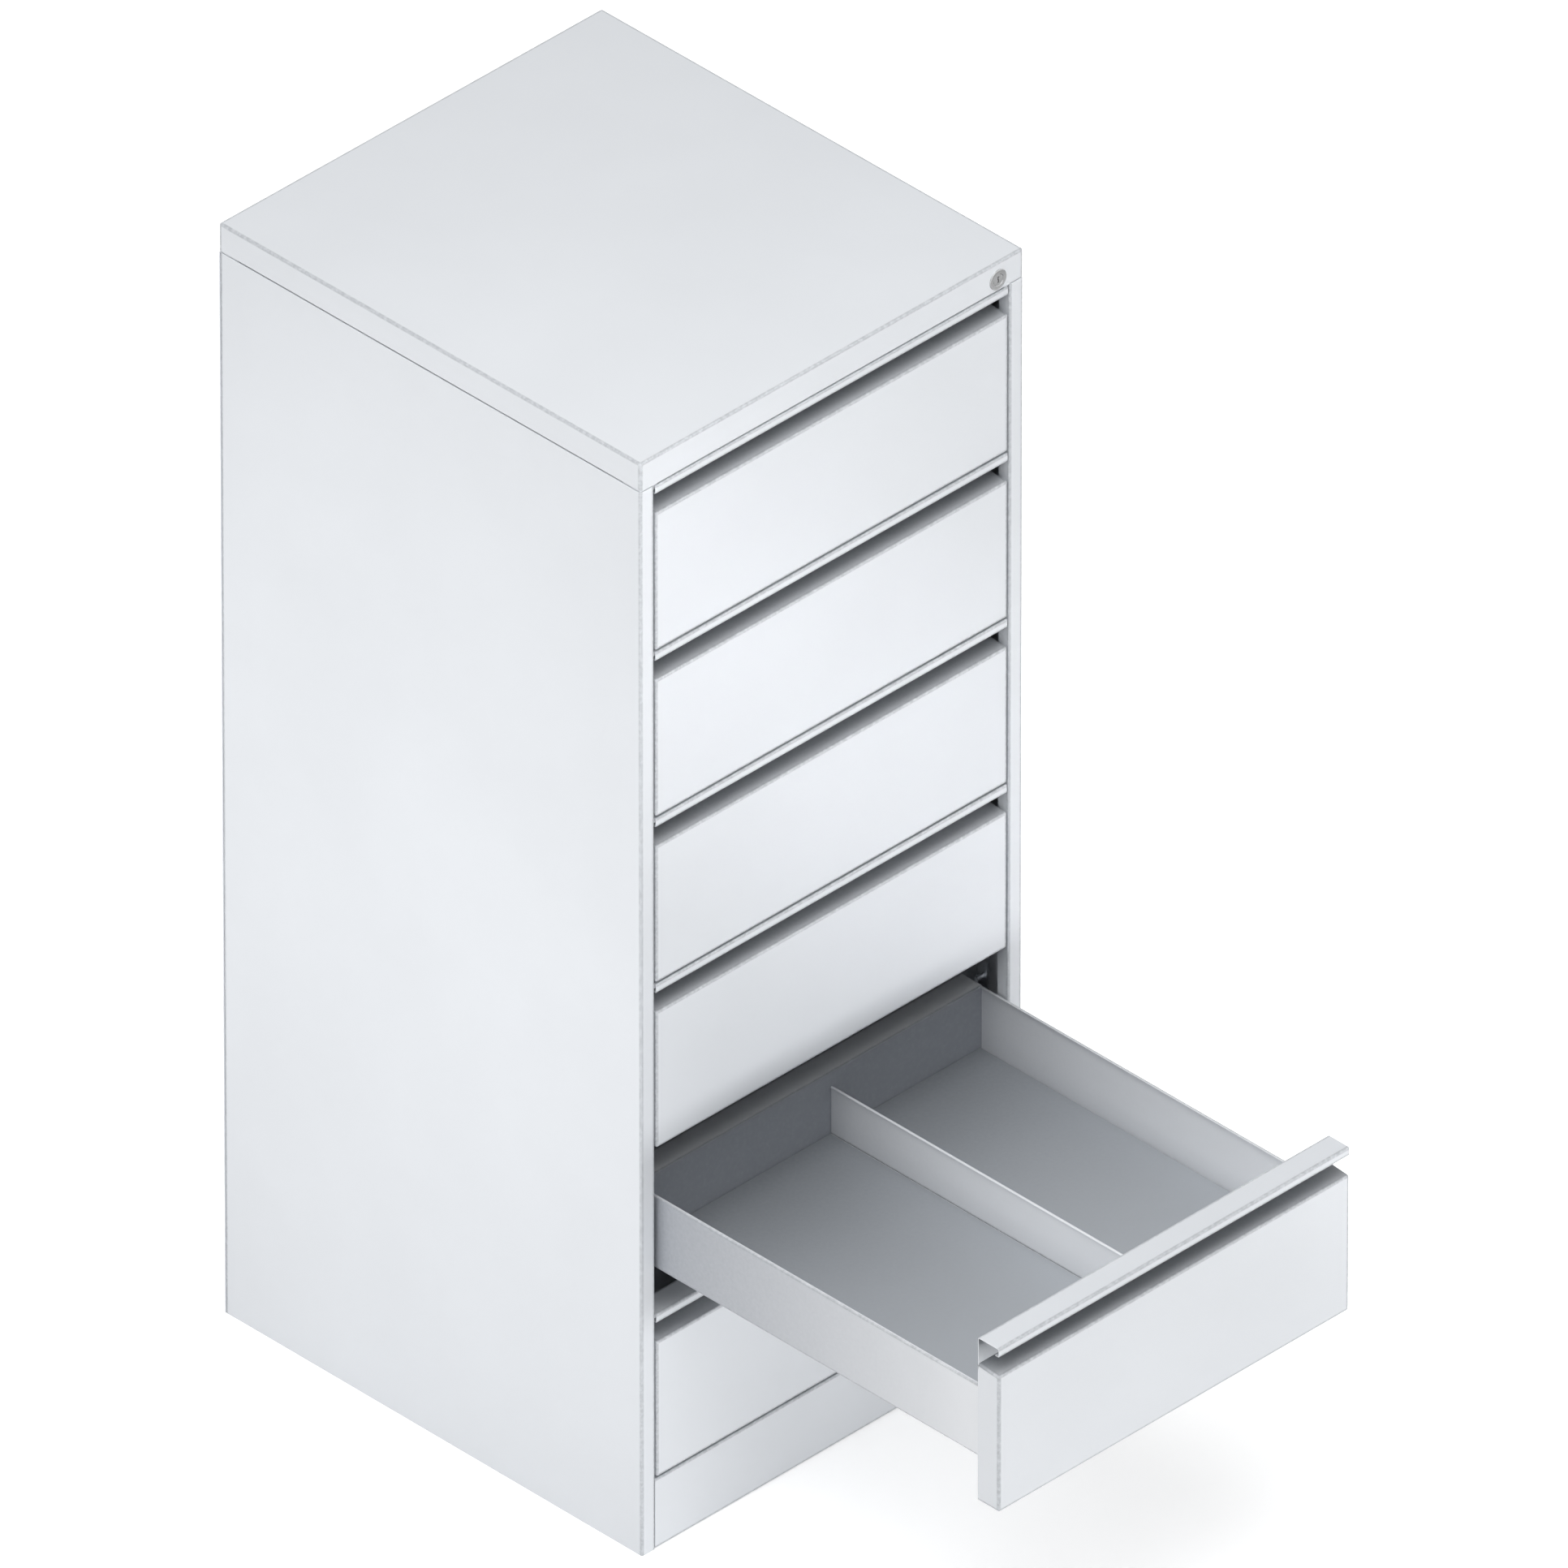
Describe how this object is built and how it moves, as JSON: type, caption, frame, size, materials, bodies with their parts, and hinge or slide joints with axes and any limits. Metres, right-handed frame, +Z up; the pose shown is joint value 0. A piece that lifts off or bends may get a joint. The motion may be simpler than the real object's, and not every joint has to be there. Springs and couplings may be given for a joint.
{
  "type": "card file cabinet",
  "caption": "Tall light-grey steel card file cabinet with stacked grip-ledge drawers, lengthwise dividers, full-extension slides and a central lock.",
  "frame": {"origin": "on the floor, at the centre of the cabinet's footprint with the drawers closed", "axes": "+X to the right as seen from the front, -Y out of the front, +Z up"},
  "size_m": [0.54, 1.0894, 1.34],
  "materials": {
    "body_paint": "light grey powder coat, fine texture, satin",
    "tray_paint": "pale grey powder coat, satin, darker on the loose bottom plates",
    "zinc_plate": "bright zinc plate on pressed steel",
    "bright_steel": "rolled slide steel, lightly oiled",
    "lock_chrome": "nickel-plated lock",
    "black_rubber": "matt moulded rubber"
  },
  "bodies": {
    "cabinet": {"left_side_panel": "body_paint", "right_side_panel": "body_paint", "back_panel": "body_paint", "top_cover": "body_paint", "top_rails": "body_paint", "base_frame": "zinc_plate", "base_panel": "body_paint", "plinth_panel": "body_paint", "levelling_feet": "bright_steel", "rail_carriers": "zinc_plate", "fixed_rails": "bright_steel", "stop_buffers": "black_rubber", "panel_screws": "zinc_plate", "lock_housing": "lock_chrome", "lock_nut": "bright_steel", "lock_bar_guides": "zinc_plate"},
    "lock_cylinder": {"lock_plug": "lock_chrome"},
    "locking_bar": {"lock_bar": "zinc_plate"},
    "drawer_1": {"drawer_1_front": "body_paint", "drawer_1_liner": "tray_paint", "drawer_1_tray": "tray_paint", "drawer_1_divider": "tray_paint", "drawer_1_rails": "bright_steel", "drawer_1_hook": "zinc_plate"},
    "slides_1": {"drawer_1_middle_rails": "bright_steel"},
    "drawer_2": {"drawer_2_front": "body_paint", "drawer_2_liner": "tray_paint", "drawer_2_tray": "tray_paint", "drawer_2_divider": "tray_paint", "drawer_2_rails": "bright_steel", "drawer_2_hook": "zinc_plate"},
    "slides_2": {"drawer_2_middle_rails": "bright_steel"},
    "drawer_3": {"drawer_3_front": "body_paint", "drawer_3_liner": "tray_paint", "drawer_3_tray": "tray_paint", "drawer_3_divider": "tray_paint", "drawer_3_rails": "bright_steel", "drawer_3_hook": "zinc_plate"},
    "slides_3": {"drawer_3_middle_rails": "bright_steel"},
    "drawer_4": {"drawer_4_front": "body_paint", "drawer_4_liner": "tray_paint", "drawer_4_tray": "tray_paint", "drawer_4_divider": "tray_paint", "drawer_4_rails": "bright_steel", "drawer_4_hook": "zinc_plate"},
    "slides_4": {"drawer_4_middle_rails": "bright_steel"},
    "drawer_5": {"drawer_5_front": "body_paint", "drawer_5_liner": "tray_paint", "drawer_5_tray": "tray_paint", "drawer_5_divider": "tray_paint", "drawer_5_rails": "bright_steel", "drawer_5_hook": "zinc_plate"},
    "slides_5": {"drawer_5_middle_rails": "bright_steel"},
    "drawer_6": {"drawer_6_front": "body_paint", "drawer_6_liner": "tray_paint", "drawer_6_tray": "tray_paint", "drawer_6_divider": "tray_paint", "drawer_6_rails": "bright_steel", "drawer_6_hook": "zinc_plate"},
    "slides_6": {"drawer_6_middle_rails": "bright_steel"}
  },
  "joints": [
    {"name": "drawer_1_slide", "type": "slide", "parent": "cabinet", "child": "drawer_1", "axis": [0, -1, 0], "range_m": [0, 0.487]},
    {"name": "slides_1_slide", "type": "slide", "parent": "cabinet", "child": "slides_1", "axis": [0, -1, 0], "range_m": [0, 0.2435]},
    {"name": "drawer_2_slide", "type": "slide", "parent": "cabinet", "child": "drawer_2", "axis": [0, -1, 0], "range_m": [0, 0.487]},
    {"name": "slides_2_slide", "type": "slide", "parent": "cabinet", "child": "slides_2", "axis": [0, -1, 0], "range_m": [0, 0.2435]},
    {"name": "drawer_3_slide", "type": "slide", "parent": "cabinet", "child": "drawer_3", "axis": [0, -1, 0], "range_m": [0, 0.487]},
    {"name": "slides_3_slide", "type": "slide", "parent": "cabinet", "child": "slides_3", "axis": [0, -1, 0], "range_m": [0, 0.2435]},
    {"name": "drawer_4_slide", "type": "slide", "parent": "cabinet", "child": "drawer_4", "axis": [0, -1, 0], "range_m": [0, 0.487]},
    {"name": "slides_4_slide", "type": "slide", "parent": "cabinet", "child": "slides_4", "axis": [0, -1, 0], "range_m": [0, 0.2435]},
    {"name": "drawer_5_slide", "type": "slide", "parent": "cabinet", "child": "drawer_5", "axis": [0, -1, 0], "range_m": [-0.487, 0]},
    {"name": "slides_5_slide", "type": "slide", "parent": "cabinet", "child": "slides_5", "axis": [0, -1, 0], "range_m": [-0.2435, 0]},
    {"name": "drawer_6_slide", "type": "slide", "parent": "cabinet", "child": "drawer_6", "axis": [0, -1, 0], "range_m": [0, 0.487]},
    {"name": "slides_6_slide", "type": "slide", "parent": "cabinet", "child": "slides_6", "axis": [0, -1, 0], "range_m": [0, 0.2435]},
    {"name": "locking_bar_lift", "type": "slide", "parent": "cabinet", "child": "locking_bar", "axis": [0, 0, 1], "range_m": [0, 0.0099]},
    {"name": "key_turn", "type": "hinge", "parent": "cabinet", "child": "lock_cylinder", "pos_m": [0.234, -0.3, 1.3195], "axis": [0, 1, 0], "range_deg": [0, 90]}
  ],
  "couplings": [
    {"joint": "slides_1_slide", "follows": "drawer_1_slide", "ratio": 0.5},
    {"joint": "slides_2_slide", "follows": "drawer_2_slide", "ratio": 0.5},
    {"joint": "slides_3_slide", "follows": "drawer_3_slide", "ratio": 0.5},
    {"joint": "slides_4_slide", "follows": "drawer_4_slide", "ratio": 0.5},
    {"joint": "slides_5_slide", "follows": "drawer_5_slide", "ratio": 0.5},
    {"joint": "slides_6_slide", "follows": "drawer_6_slide", "ratio": 0.5},
    {"joint": "key_turn", "follows": "locking_bar_lift", "rad_per_m": 158.68}
  ]
}
